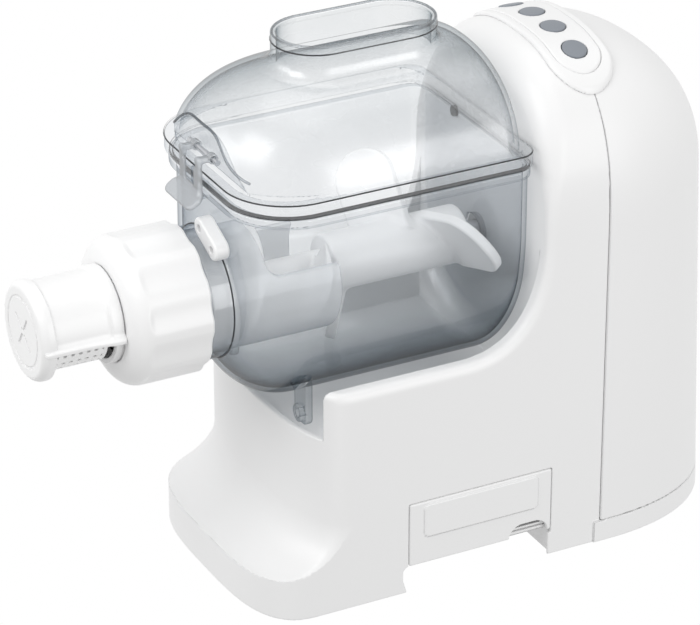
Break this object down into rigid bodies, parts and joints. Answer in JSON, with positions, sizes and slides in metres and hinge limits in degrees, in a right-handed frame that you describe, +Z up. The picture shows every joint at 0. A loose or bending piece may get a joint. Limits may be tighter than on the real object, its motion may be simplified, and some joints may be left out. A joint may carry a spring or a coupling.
{
  "type": "electric pasta maker",
  "caption": "Electric pasta maker: narrow white tower with arched top, clear mixing bowl with feed-chute lid, kneading paddle, extruding nozzle with cutter cap, buttons and drawer.",
  "frame": {"origin": "centre of the footprint of the bounding box, on the surface the feet stand on", "axes": "+Z up, -Y towards the nozzle, +X to the side with the storage drawer"},
  "size_m": [0.152, 0.399, 0.304],
  "materials": {
    "white_casing": "satin",
    "white_nozzle": "satin",
    "grey_button": "satin",
    "grey_rubber": "matte",
    "dark_seal": "matte",
    "dark_plastic": "matte",
    "smoky_clear": "clear gloss",
    "clear": "clear gloss",
    "steel": "satin",
    "motor_iron": "matte",
    "gear_plastic": "satin",
    "circuit_board": "matte"
  },
  "bodies": {
    "housing": {"front_housing": "white_casing", "rear_cover": "white_casing", "base_plate": "white_casing", "rubber_feet": "grey_rubber", "base_screws": "steel", "control_bezel": "white_casing", "control_strip": "white_casing", "control_board": "circuit_board", "gear_frame": "steel", "frame_screws": "steel", "front_bearing": "steel", "rear_bearing": "steel", "shaft_seal": "dark_seal", "idler_axle": "steel", "motor_can": "steel", "power_board": "circuit_board", "cord_gland": "grey_rubber", "interlock_pin": "dark_plastic"},
    "motor": {"motor_rotor": "motor_iron", "motor_pinion": "steel", "cooling_fan": "dark_plastic"},
    "idler": {"idler_gear": "gear_plastic"},
    "output": {"drive_shaft": "steel", "output_gear": "gear_plastic"},
    "button_1": {"button_1": "grey_button"},
    "button_2": {"button_2": "grey_button"},
    "button_3": {"button_3": "grey_button"},
    "button_4": {"button_4": "grey_button"},
    "drawer": {"storage_drawer": "white_casing", "spare_dies": "white_nozzle"},
    "bowl": {"mixing_bowl": "smoky_clear", "bowl_gasket": "dark_seal", "extruder_tube": "clear", "release_tab": "white_nozzle", "shaping_die": "white_nozzle"},
    "lid": {"bowl_lid": "smoky_clear", "latch_pin": "steel"},
    "latch": {"lid_latch": "clear"},
    "ring": {"locking_ring": "white_nozzle"},
    "paddle": {"kneading_paddle": "white_nozzle", "auger": "white_nozzle", "cutter_blade": "steel"},
    "cutter": {"cutter_cap": "white_nozzle", "cutter_sleeve": "white_nozzle"}
  },
  "joints": [
    {"name": "button_1_press", "type": "slide", "parent": "housing", "child": "button_1", "axis": [0.3512, 0, -0.9363], "range_m": [0, 0.0008], "stiffness_N_per_m": 600, "springref_m": -0.0005},
    {"name": "button_2_press", "type": "slide", "parent": "housing", "child": "button_2", "axis": [0.0668, 0, -0.9978], "range_m": [0, 0.0008], "stiffness_N_per_m": 600, "springref_m": -0.0005},
    {"name": "button_3_press", "type": "slide", "parent": "housing", "child": "button_3", "axis": [-0.0668, 0, -0.9978], "range_m": [0, 0.0008], "stiffness_N_per_m": 600, "springref_m": -0.0005},
    {"name": "button_4_press", "type": "slide", "parent": "housing", "child": "button_4", "axis": [-0.3512, 0, -0.9363], "range_m": [0, 0.0008], "stiffness_N_per_m": 600, "springref_m": -0.0005},
    {"name": "drawer_slide", "type": "slide", "parent": "housing", "child": "drawer", "axis": [1, 0, 0], "range_m": [0, 0.085]},
    {"name": "bowl_slide", "type": "slide", "parent": "housing", "child": "bowl", "axis": [0, -1, 0], "range_m": [0, 0.16]},
    {"name": "lid_lift", "type": "slide", "parent": "bowl", "child": "lid", "axis": [0, 0, 1], "range_m": [0, 0.08]},
    {"name": "latch_swing", "type": "hinge", "parent": "lid", "child": "latch", "pos_m": [0, -0.095, 0.249], "axis": [-1, 0, 0], "range_deg": [0, 95]},
    {"name": "ring_twist", "type": "hinge", "parent": "bowl", "child": "ring", "pos_m": [0, -0.1295, 0.1688], "axis": [0, 1, 0], "range_deg": [0, 40]},
    {"name": "cutter_pull", "type": "slide", "parent": "bowl", "child": "cutter", "axis": [0, -1, 0], "range_m": [0, 0.06]},
    {"name": "motor_spin", "type": "hinge", "parent": "housing", "child": "motor", "pos_m": [0, 0.1305, 0.08], "axis": [0, 1, 0], "continuous": true},
    {"name": "idler_spin", "type": "hinge", "parent": "housing", "child": "idler", "pos_m": [0, 0.0855, 0.122], "axis": [0, 1, 0], "continuous": true},
    {"name": "output_spin", "type": "hinge", "parent": "housing", "child": "output", "pos_m": [0, 0.0855, 0.1688], "axis": [0, 1, 0], "continuous": true},
    {"name": "paddle_spin", "type": "hinge", "parent": "bowl", "child": "paddle", "pos_m": [0, 0.0005, 0.1688], "axis": [0, 1, 0], "continuous": true}
  ],
  "couplings": [
    {"joint": "idler_spin", "follows": "motor_spin", "ratio": -0.23529},
    {"joint": "output_spin", "follows": "motor_spin", "ratio": 0.065359},
    {"joint": "paddle_spin", "follows": "motor_spin", "ratio": 0.065359}
  ]
}
